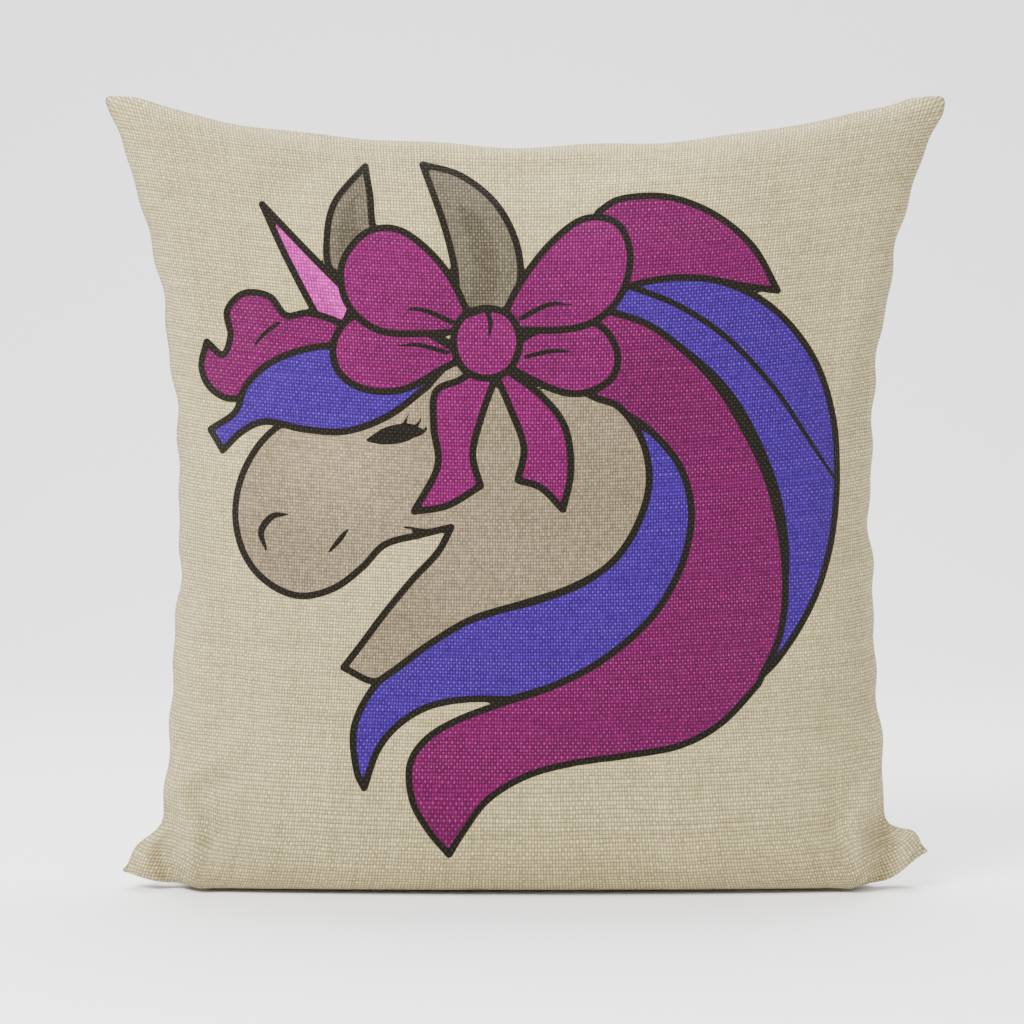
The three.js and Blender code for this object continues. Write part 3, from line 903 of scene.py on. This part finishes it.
# %% Small helpers for node graphs
class Graph:
    """The node graph of one material, with short ways to add nodes."""

    def __init__(self, name):
        self.material = bpy.data.materials.new(name)
        self.material.use_nodes = True
        self.tree = self.material.node_tree
        self.shader = self.tree.nodes["Principled BSDF"]

    def put(self, socket, value):
        if isinstance(value, bpy.types.NodeSocket):
            self.tree.links.new(value, socket)
        else:
            socket.default_value = value

    def look(self, name, value):
        """Sets one socket of the shader."""
        self.put(self.shader.inputs[name], value)

    def node(self, kind, *values, **settings):
        """A new node with these settings, and these values in its first sockets."""
        node = self.tree.nodes.new("ShaderNode" + kind)
        for name, setting in settings.items():
            setattr(node, name, setting)
        for socket, value in zip(node.inputs, values):
            self.put(socket, value)
        return node

    def math(self, kind, *values):
        return self.node("Math", *values, operation=kind).outputs[0]

    def times(self, a, b):
        return self.math("MULTIPLY", a, b)

    def plus(self, a, b):
        return self.math("ADD", a, b)

    def fit(self, value, scale, shift):
        return self.math("MULTIPLY_ADD", value, scale, shift)

    def mix(self, factor, a, b, kind="MIX"):
        node = self.node("Mix", factor, data_type="RGBA", blend_type=kind)
        for socket, value in ((node.inputs[6], a), (node.inputs[7], b)):
            self.put(socket, value if isinstance(value, bpy.types.NodeSocket) else (*value[:3], 1))
        return node.outputs[2]

    def ramp(self, value, low, high, to_low=0.0, to_high=1.0):
        values = value, low, high, to_low, to_high
        return self.node("MapRange", *values, interpolation_type="SMOOTHSTEP").outputs[0]

    def join(self, x=0.0, y=0.0, z=0.0):
        return self.node("CombineXYZ", x, y, z).outputs[0]

    def grey(self, value):
        """A value as a grey colour."""
        return self.node("CombineColor", value, value, value).outputs[0]

    def noise(self, place, scale, detail=2.0, rough=0.5):
        node = self.node("TexNoise", place)
        for name, value in (("Scale", scale), ("Detail", detail), ("Roughness", rough)):
            node.inputs[name].default_value = value
        return node.outputs[0]

    def chance(self, place):
        return self.node("TexWhiteNoise", place).outputs["Value"]

    def parts(self, vector):
        return self.node("SeparateXYZ", vector).outputs

    def object_place(self):
        return self.node("TexCoord").outputs["Object"]

    def uv_place(self, name="cloth"):
        return self.node("UVMap", uv_map=name).outputs[0]

    def attribute(self, name):
        return self.node("Attribute", attribute_name=name).outputs

    def relief(self, height, depth, strength=1.0):
        node = self.node("Bump")
        for name, value in (("Strength", strength), ("Distance", depth), ("Height", height)):
            self.put(node.inputs[name], value)
        self.look("Normal", node.outputs[0])


# %% The weave, shared by the cloths
def weave(g, across, along, wobble=0.35):
    """Height of a plain weave, its two thread tones, and the place it is drawn at."""
    place = g.uv_place()
    u, v, _ = g.parts(place)
    drift = g.noise(place, 60, 2.0)
    s = g.fit(u, across, g.times(g.math("SUBTRACT", drift, 0.5), wobble * 2))
    slub = g.noise(g.join(g.times(u, 14), g.times(v, 160)), 1.0, 3.0)
    t = g.fit(v, along, g.times(g.math("SUBTRACT", slub, 0.5), wobble * 2.4))
    over_s, over_t = g.math("FLOOR", s), g.math("FLOOR", t)
    round_s = g.math("SINE", g.times(g.math("FRACT", s), math.pi))
    round_t = g.math("SINE", g.times(g.math("FRACT", t), math.pi))
    chequer = g.math("MODULO", g.plus(over_s, over_t), 2.0)
    warp = g.times(g.math("POWER", round_s, 0.6), g.fit(round_t, 0.65, 0.35))
    weft = g.times(g.math("POWER", round_t, 0.6), g.fit(round_s, 0.65, 0.35))
    warp = g.times(warp, 0.72)
    height = g.plus(g.times(warp, chequer), g.times(weft, g.math("SUBTRACT", 1.0, chequer)))
    thread = g.plus(
        g.times(g.chance(g.join(over_s, 3.0)), chequer),
        g.times(g.chance(g.join(7.0, over_t)), g.math("SUBTRACT", 1.0, chequer)),
    )
    stitch = g.chance(g.join(over_s, over_t, 2.0))
    return height, thread, stitch, slub, place


def linen_tone(g, height, thread, stitch, slub, place):
    """Natural linen colour from the weave, with painted shade in the gaps between the threads."""
    cloud = g.noise(place, 5, 3.0)
    streak = g.noise(g.join(g.times(g.parts(place)[0], 220), g.times(g.parts(place)[1], 9)), 1.0, 2.0)
    # painted shade: the colour darkens towards the gap colour where the threads dip
    shadow = g.math("POWER", height, 0.8)
    base = g.mix(shadow, LINEN_GAP_SHADE, LINEN_THREAD)
    tone = g.plus(0.62, g.times(thread, 0.20))
    tone = g.plus(tone, g.times(stitch, 0.30))
    tone = g.plus(tone, g.times(slub, 0.20))
    tone = g.plus(tone, g.times(streak, 0.14))
    tone = g.times(tone, g.ramp(cloud, 0.3, 0.7, 0.93, 1.05))
    return g.mix(1.0, base, g.grey(tone), "MULTIPLY")


# the colour of the painted shade in the gaps between the threads
LINEN_GAP_SHADE = (0.085, 0.060, 0.025)
LINEN_THREAD = (0.50, 0.43, 0.232)
THREADS_ACROSS, THREADS_ALONG = 272, 237


def cloth_finish(g, roughness=0.92):
    g.look("Roughness", roughness)
    g.look("Specular IOR Level", 0.12)
    g.look("Sheen Weight", 0.04)
    g.look("Sheen Roughness", 0.5)


# %% Plain linen, and the same linen with the ink on it
plain = Graph("plain_linen")
weave_of_plain = weave(plain, THREADS_ACROSS, THREADS_ALONG)
plain.look("Base Color", linen_tone(plain, *weave_of_plain))
plain.relief(weave_of_plain[0], 0.6 * MM, 1.0)
cloth_finish(plain)

printed = Graph("printed_linen")
weave_of_print = weave(printed, THREADS_ACROSS, THREADS_ALONG)
height, thread, stitch, slub, place = weave_of_print
ground = linen_tone(printed, *weave_of_print)
ink_colour, ink_amount = printed.attribute("print_ink")[0], printed.attribute("print_ink")[3]
# painted shade: the ink darkens where the weave dips between the threads, and each crossing also gets its own
# random tone
ink_gap_shade_and_tone = printed.fit(printed.math("POWER", height, 0.9), 0.95, 0.36)
ink_gap_shade_and_tone = printed.times(ink_gap_shade_and_tone, printed.fit(stitch, 0.44, 0.78))
inked = printed.mix(1.0, ink_colour, printed.grey(ink_gap_shade_and_tone), "MULTIPLY")
# painted highlight on the tops of the threads, where the ink also lies thin: the ink turns a little toward the
# bare thread colour there
thin_ink_and_top_highlight = printed.times(printed.ramp(height, 0.72, 1.0), printed.fit(thread, 0.12, 0.03))
inked = printed.mix(thin_ink_and_top_highlight, inked, LINEN_THREAD)
colour = printed.mix(printed.ramp(ink_amount, 0.35, 0.65), ground, inked)
bled = printed.times(printed.math("SUBTRACT", height, 0.5), -0.16)
bled = printed.plus(printed.attribute("print_line")[2], bled)
dark = printed.ramp(bled, 0.84, 1.04, 1.0, 0.0)
# painted highlight: the dark line is a little lighter on the tops of the threads
line_colour = printed.mix(printed.times(printed.ramp(height, 0.5, 1.0), 0.035), LINE_DARK, LINEN_THREAD)
colour = printed.mix(dark, colour, line_colour)
printed.look("Base Color", colour)
printed.relief(height, 0.6 * MM, 1.0)
cloth_finish(printed)

finish_piece(cover_front, "cushion", "cover_front_panel", printed.material)
finish_piece(cover_back, "cushion", "cover_back_panel", plain.material)

# %% [markdown]
# ## The insert and its stuffing
# Inside the cover is a separate inner cushion: a white non-woven bag, sewn on three sides and
# closed by hand at the foot, full of hollow fibre. It has the same outline as the cover, only
# smaller, and its foot is lifted in the middle, where the zip lies under it. So both are shaped
# from the filled cover, by taking each place a little further in, and pinching it at its own seam.

# %% A form a little inside the cover
INNER_CELLS = 30
front_grid = panel_points(FRONT, places)
back_grid = panel_points(BACK, places)


def on_cloth(grid, u, v):
    """The place on the filled cover at u, v, each from -1 to 1."""
    a = min(max((u + 1) / 2 * CELLS, 0), CELLS - 1e-6)
    b = min(max((v + 1) / 2 * CELLS, 0), CELLS - 1e-6)
    i, j = int(a), int(b)
    s, t = a - i, b - j
    return (
        grid[i, j] * (1 - s) * (1 - t)
        + grid[i + 1, j] * s * (1 - t)
        + grid[i, j + 1] * (1 - s) * t
        + grid[i + 1, j + 1] * s * t
    )


def inner_place(i, j, side, inset, foot, gap):
    """A point of a bag that is inset from the seams, foot above the zip, and gap inside the cloth."""
    half = PANEL / 2
    u, v = 2 * i / INNER_CELLS - 1, 2 * j / INNER_CELLS - 1
    u_in = u * (1 - inset / half)
    v_in = -1 + foot / half + (v + 1) / 2 * (2 - (foot + inset) / half)
    x, y, z = on_cloth(front_grid if side == FRONT else back_grid, u_in, v_in)
    seam = min(1 - abs(u), 1 - abs(v)) * half
    pinch = math.sqrt(1 - (1 - min(seam / (30 * MM), 1)) ** 2)
    y = side * max(abs(y) - gap, 0) * pinch
    over_zip = 1 - float(rise(abs(y), 5 * MM, 22 * MM))
    lowest = gap + 0.6 * MM + (foot - gap) * over_zip
    return x, y, max(z + (gap if z < 0.2 else -gap) * abs(v), lowest)


def inner_bag(name, sides, inset, foot, gap):
    """One panel, or with both sides a closed bag, subdivided once."""
    known, points, faces = {}, [], []

    def place_of(i, j, side):
        key = (i, j, 0 if i in (0, INNER_CELLS) or j in (0, INNER_CELLS) else side)
        if key not in known:
            known[key] = len(points)
            points.append(inner_place(i, j, side, inset, foot, gap))
        return known[key]

    for side in sides:
        faces += grid_faces(INNER_CELLS, side, place_of)
    bag = new_object(name, points, faces)
    subdivided(bag, 2 if len(sides) == 1 else 1)
    print(name, len(bag.data.polygons), "faces")
    return bag


INSERT_INSET, INSERT_FOOT, INSERT_GAP = 11 * MM, 17.4 * MM, 2.2 * MM
insert_front = inner_bag("insert_front", (FRONT,), INSERT_INSET, INSERT_FOOT, INSERT_GAP)
insert_back = inner_bag("insert_back", (BACK,), INSERT_INSET, INSERT_FOOT, INSERT_GAP)
stuffing = inner_bag("fibre_stuffing", (FRONT, BACK), 14 * MM, 19.6 * MM, 4 * MM)

# %% Non-woven casing and loose fibre
casing = Graph("insert_casing")
casing_place = casing.object_place()
dots = casing.tree.nodes.new("ShaderNodeTexVoronoi")
dots.feature = "F1"
casing.put(dots.inputs["Vector"], casing_place)
dots.inputs["Scale"].default_value = 420
dots.inputs["Randomness"].default_value = 0.15
pressed = casing.ramp(dots.outputs["Distance"], 0.12, 0.34)
fibres = casing.noise(casing_place, 1600, 3.0)
casing_tone = casing.fit(fibres, 0.10, casing.fit(pressed, 0.08, 0.74))
casing.look("Base Color", casing.grey(casing_tone))
casing.look("Roughness", 0.7)
casing.relief(casing.plus(pressed, casing.times(fibres, 0.4)), 0.15 * MM, 0.8)

wool = Graph("fibre_fill")
wool_place = wool.object_place()
strands = wool.noise(wool_place, 260, 6.0, 0.7)
clumps = wool.noise(wool_place, 28, 3.0)
wool.look("Base Color", wool.grey(wool.fit(strands, 0.16, wool.fit(clumps, 0.1, 0.68))))
wool.look("Roughness", 0.95)
wool.relief(wool.plus(strands, clumps), 1.2 * MM, 0.8)

for bag, node in ((insert_front, "insert_front_panel"), (insert_back, "insert_back_panel")):
    finish_piece(bag, "cushion", node, casing.material)
finish_piece(stuffing, "cushion", "fibre_fill", wool.material)

# %% [markdown]
# ## Stitches
# A sewn line is a row of short thread stitches, each one dipping into the cloth at its ends. One
# stitch is modelled from a thin rod with its ends drawn in, and then laid along the seam again and
# again. The overlock round the raw edges is the same stitch, laid as a zigzag.

# %% One stitch, and laying copies of a shape along places
THREAD = 0.2 * MM  # radius


def modelled_stitch():
    """A stitch 1 mm long along X, to be stretched to length."""
    bpy.ops.mesh.primitive_cylinder_add(vertices=6, radius=THREAD, depth=1 * MM, rotation=(0, math.pi / 2, 0))
    rod = bpy.context.object
    bpy.ops.object.transform_apply(location=True, rotation=True, scale=True)
    bpy.ops.object.mode_set(mode="EDIT")
    bpy.ops.mesh.select_mode(type="FACE")
    mesh = bmesh.from_edit_mesh(rod.data)
    for face in mesh.faces:
        face.select = abs(face.normal.x) > 0.9
    bmesh.update_edit_mesh(rod.data)
    bpy.ops.mesh.extrude_region_shrink_fatten(TRANSFORM_OT_shrink_fatten={"value": 0.12 * MM})
    mesh = bmesh.from_edit_mesh(rod.data)
    for vert in mesh.verts:
        if abs(vert.co.x) > 0.56 * MM:
            vert.co.y *= 0.5
            vert.co.z *= 0.5
    bmesh.update_edit_mesh(rod.data)
    bpy.ops.object.mode_set(mode="OBJECT")
    return rod


def shape_of(obj):
    """The vertices and faces of a modelled shape, which is then taken away."""
    verts = np.array([v.co[:] for v in obj.data.vertices])
    faces = [tuple(p.vertices) for p in obj.data.polygons]
    bpy.data.objects.remove(obj)
    return verts, faces


def laid_copies(name, shape, frames):
    """One object of many copies: each frame is (place, x axis, y axis, z axis) for the shape."""
    verts, faces = shape
    points, rings = [], []
    for place, *axes in frames:
        base = len(points)
        points.extend(map(tuple, verts @ np.array(axes) + np.array(place)))
        rings.extend(tuple(base + n for n in face) for face in faces)
    print(name, len(frames), "copies,", len(rings), "faces")
    return new_object(name, points, rings)


stitch_shape = shape_of(modelled_stitch())


def between(a, b, trim=0.0):
    """The frame that lays a stitch from a to b, with trim left free at each end."""
    a, b = np.array(a), np.array(b)
    run = b - a
    length = np.linalg.norm(run)
    way = run / length
    across = np.cross((0.13, 1, 0.21), way)
    across = across / np.linalg.norm(across)
    return (a + b) / 2, way * max(length - 2 * trim, 0.3 * MM) / (1.24 * MM), across, np.cross(way, across)


# %% Even steps along a path
def stitched_line(name, places, trim):
    """A row of stitches from each place to the next."""
    return laid_copies(name, stitch_shape, [between(a, b, trim) for a, b in zip(places, places[1:])])


def even_steps(path, step):
    path = np.array(path)
    run = np.concatenate([[0], np.cumsum(np.linalg.norm(np.diff(path, axis=0), axis=1))])
    count = max(int(run[-1] / step), 1)
    at = np.linspace(0, run[-1], count + 1)
    return np.stack([np.interp(at, run, path[:, k]) for k in range(3)], 1)


def sewn_edge(inward):
    """The seam of the cover from one end of the zip round to the other, moved inward along the cloth."""
    walk = [(i, 0) for i in range(CELLS + 1) if not on_lip(i, 0) and i > CELLS / 2]
    walk += [(CELLS, j) for j in range(1, CELLS + 1)]
    walk += [(i, CELLS) for i in range(CELLS - 1, -1, -1)]
    walk += [(0, j) for j in range(CELLS - 1, -1, -1)]
    walk += [(i, 0) for i in range(1, CELLS // 2) if not on_lip(i, 0)]
    path = []
    for i, j in walk:
        if abs(2 * i / CELLS - 1) > 0.95 and 2 * j / CELLS - 1 < -0.95:
            continue  # the stitching turns the folded corner short of its tip
        seam = front_grid[i, j]
        raw = np.array(allowance_point(i, j, FRONT, front_grid))
        near = seam + (raw - seam) * inward / ALLOWANCE
        path.append((near[0], 0.0, near[2]))
    return path


seam_stitches = stitched_line("seam_stitches", even_steps(sewn_edge(1.2 * MM), 3 * MM), 0.15 * MM)
inner_steps = even_steps(sewn_edge(6.2 * MM), 2.2 * MM)
outer_steps = even_steps(sewn_edge(ALLOWANCE + 0.5 * MM), 2.2 * MM)
inner_last, outer_last = len(inner_steps) - 1, len(outer_steps) - 1
in_front = np.array((0, -ALLOWANCE_GAP - 0.25 * MM, 0))  # the thread lies on the face of the allowance
zigzag = []
for n in range(min(inner_last, outer_last)):
    low, after = (inner_steps[k * inner_last // outer_last] + in_front for k in (n, n + 1))
    high = outer_steps[n] + in_front
    zigzag += [between(low, high), between(high, after)]
overlock = laid_copies("overlock_stitches", stitch_shape, zigzag)

# %% The stitches of the insert
def insert_edge():
    n = INNER_CELLS
    walk = [(n, j) for j in range(1, n + 1)]
    walk += [(i, n) for i in range(n - 1, -1, -1)]
    walk += [(0, j) for j in range(n - 1, 0, -1)]
    return [inner_place(i, j, FRONT, INSERT_INSET - 0.8 * MM, INSERT_FOOT, INSERT_GAP) for i, j in walk]


insert_seam = stitched_line("insert_seam_stitches", even_steps(insert_edge(), 4 * MM), 0.3 * MM)
closing = [(x * MM, (-0.5 + n % 2) * MM, INSERT_FOOT + 0.2 * MM) for n, x in enumerate(range(-80, 81, 5))]
closing_stitches = stitched_line("insert_closing_stitches", closing, 0.0)

# %% The stitches of the zip: a row through each tape, and a bar tack at each end
zip_rows = []
for side, node in ((FRONT, "zip_stitch_front"), (BACK, "zip_stitch_back")):
    low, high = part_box(node)
    y, z = (low.y + high.y) / 2, (low.z + high.z) / 2
    count = int((high.x - low.x) / (3 * MM))
    row = [(x, y, z) for x in np.linspace(low.x, high.x, count + 1)]
    zip_rows.append((stitched_line(node + "_row", row, 0.2 * MM), node))
tacks = []
for node in ("bar_tack_left", "bar_tack_right"):
    low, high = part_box(node)
    rows = []
    for layer in range(2):
        z = low.z + 0.2 * MM + layer * (high.z - low.z - 0.4 * MM)
        edges = np.linspace(low.x + 0.2 * MM, high.x - 0.2 * MM, 7)
        rows += [between((x, low.y, z), (x, high.y, z), 0.1 * MM) for x in edges]
    rows.append(between((low.x, 0, low.z + 0.4 * MM), (high.x, 0, low.z + 0.4 * MM), 0.1 * MM))
    tacks.append((laid_copies(node + "_stitches", stitch_shape, rows), node))

thread = Graph("sewing_thread")
thread_place = thread.object_place()
twist = thread.noise(thread_place, 3200, 2.0)
thread_tone = thread.fit(twist, 0.25, 0.85)
thread_colour = thread.mix(1.0, (0.58, 0.52, 0.40), thread.grey(thread_tone), "MULTIPLY")
thread.look("Base Color", thread_colour)
thread.look("Roughness", 0.55)
thread.look("Sheen Weight", 0.3)
thread.relief(twist, 0.06 * MM, 0.8)
for piece, node in (
    (seam_stitches, "seam_thread"),
    (overlock, "overlock_thread"),
    (insert_seam, "insert_seam_thread"),
    (closing_stitches, "insert_closing_stitch"),
    *zip_rows,
    *tacks,
):
    finish_piece(piece, "cushion", node, thread.material)

# %% [markdown]
# ## The zip
# The opening is closed by a nylon coil zip sewn behind the two fabric lips. The coil is a thread
# wound into even loops, which are modelled as one flattened ring and laid side by side, with the
# loops of the two sides half a step apart so that they mesh. The tapes keep the shape of the
# model and get a fine herringbone weave. The slider, the pull and the stops are the model's own
# shapes with their edges rounded, as cast and plated zinc is.

# %% Coil loops
LOOP_STEP = 1.4 * MM
bpy.ops.mesh.primitive_torus_add(
    major_segments=10,
    minor_segments=4,
    major_radius=0.7 * MM,
    minor_radius=0.27 * MM,
    rotation=(0, math.pi / 2, 0),
)
loop = bpy.context.object
bpy.ops.object.transform_apply(location=True, rotation=True, scale=True)
bpy.ops.object.mode_set(mode="EDIT")
bpy.ops.mesh.select_all(action="SELECT")
bpy.ops.transform.resize(value=(1, 0.95, 1.12))
bpy.ops.transform.rotate(value=0.12, orient_axis="Z", center_override=(0, 0, 0))
bpy.ops.object.mode_set(mode="OBJECT")
loop_shape = shape_of(loop)
coils = []
for side, node, shift in ((FRONT, "zip_coil_front", 0.0), (BACK, "zip_coil_back", 0.5)):
    low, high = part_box(node)
    count = int((high.x - low.x) / LOOP_STEP) - 1
    middle_y = side * 1.42 * MM
    first = -count * LOOP_STEP / 2 + shift * LOOP_STEP
    unturned = (1, 0, 0), (0, 1, 0), (0, 0, 1)
    frames = [((first + n * LOOP_STEP, middle_y, COIL_LEVEL), *unturned) for n in range(count)]
    coil = laid_copies(node + "_loops", loop_shape, frames)
    bpy.ops.object.mode_set(mode="EDIT")
    bpy.ops.mesh.select_all(action="SELECT")
    bpy.ops.mesh.normals_make_consistent(inside=False)
    bpy.ops.object.mode_set(mode="OBJECT")
    coils.append((coil, node))


# %% Rounded copies of the model's metal parts
def rounded_copy(node, name, radius):
    """A merged copy of a CAD node with its edges bevelled."""
    select_only(frame["nodes"][node])
    bpy.ops.object.duplicate()
    copy = bpy.context.object
    copy.name = name
    bpy.ops.object.parent_clear(type="CLEAR_KEEP_TRANSFORM")
    bpy.ops.object.transform_apply(location=True, rotation=True, scale=True)
    for key in list(copy.keys()):
        del copy[key]
    copy.data.materials.clear()
    bpy.ops.object.mode_set(mode="EDIT")
    bpy.ops.mesh.select_all(action="SELECT")
    bpy.ops.mesh.remove_doubles(threshold=1e-6)
    bpy.ops.mesh.dissolve_limited(angle_limit=math.radians(2))
    bpy.ops.object.mode_set(mode="OBJECT")
    bevel = copy.modifiers.new("Bevel", "BEVEL")
    bevel.width = radius
    bevel.segments = 2
    bevel.limit_method = "ANGLE"
    bevel.angle_limit = math.radians(40)
    bpy.ops.object.modifier_apply(modifier=bevel.name)
    bpy.ops.object.shade_smooth_by_angle(angle=math.radians(35))
    print(name, len(copy.data.polygons), "faces")
    return copy


metal = Graph("zip_metal")
metal_place = metal.object_place()
scuffs = metal.noise(metal_place, 900, 4.0, 0.6)
metal.look("Base Color", metal.mix(scuffs, (0.46, 0.43, 0.37), (0.66, 0.63, 0.56)))
metal.look("Metallic", 1.0)
metal.look("Roughness", metal.fit(scuffs, 0.22, 0.2))
metal.relief(scuffs, 0.02 * MM, 0.5)

for node, body, radius in (
    ("zip_slider", "slider", 0.16 * MM),
    ("zip_pull", "pull", 0.22 * MM),
    *((n, "cushion", 0.25 * MM) for n in sorted(frame["nodes"]) if "stop" in n),
):
    finish_piece(rounded_copy(node, node + "_rounded", radius), body, node, metal.material)

# %% Nylon coil and herringbone tape
nylon = Graph("zip_coil")
nylon_place = nylon.object_place()
nylon_haze = nylon.noise(nylon_place, 700, 2.0)
nylon.look("Base Color", nylon.mix(nylon_haze, (0.50, 0.44, 0.33), (0.60, 0.54, 0.42)))
nylon.look("Roughness", 0.32)
nylon.relief(nylon_haze, 0.03 * MM, 0.4)
for coil, node in coils:
    finish_piece(coil, "cushion", node, nylon.material)

tape = Graph("zip_tape")
tape_x, tape_y, tape_z = tape.parts(tape.object_place())
rib = tape.math("PINGPONG", tape.times(tape_z, 1 / (1.5 * MM)), 1.0)
slant = tape.math("SINE", tape.times(tape.plus(tape.times(tape_x, 1 / (0.42 * MM)), rib), math.tau))
yarn = tape.fit(slant, 0.5, 0.5)
fuzz = tape.noise(tape.object_place(), 1500, 3.0)
tape_height = tape.fit(fuzz, 0.3, yarn)
# painted shade: the tape is darker in the grooves of the weave, where the yarn is low
tape.look("Base Color", tape.mix(tape_height, (0.36, 0.31, 0.22), (0.60, 0.54, 0.42)))
tape.relief(tape_height, 0.12 * MM, 0.8)
cloth_finish(tape, 0.85)
for node in ("zip_tape_front", "zip_tape_back"):
    obj = frame["nodes"][node]
    obj.data.materials.clear()
    obj.data.materials.append(tape.material)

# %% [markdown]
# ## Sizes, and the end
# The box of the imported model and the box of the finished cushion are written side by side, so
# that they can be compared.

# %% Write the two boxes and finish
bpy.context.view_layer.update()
finished_low, finished_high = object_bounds()
print("model box", [round(v / MM, 1) for v in cad_high - cad_low])
print("finished box", [round(v / MM, 1) for v in finished_high - finished_low])
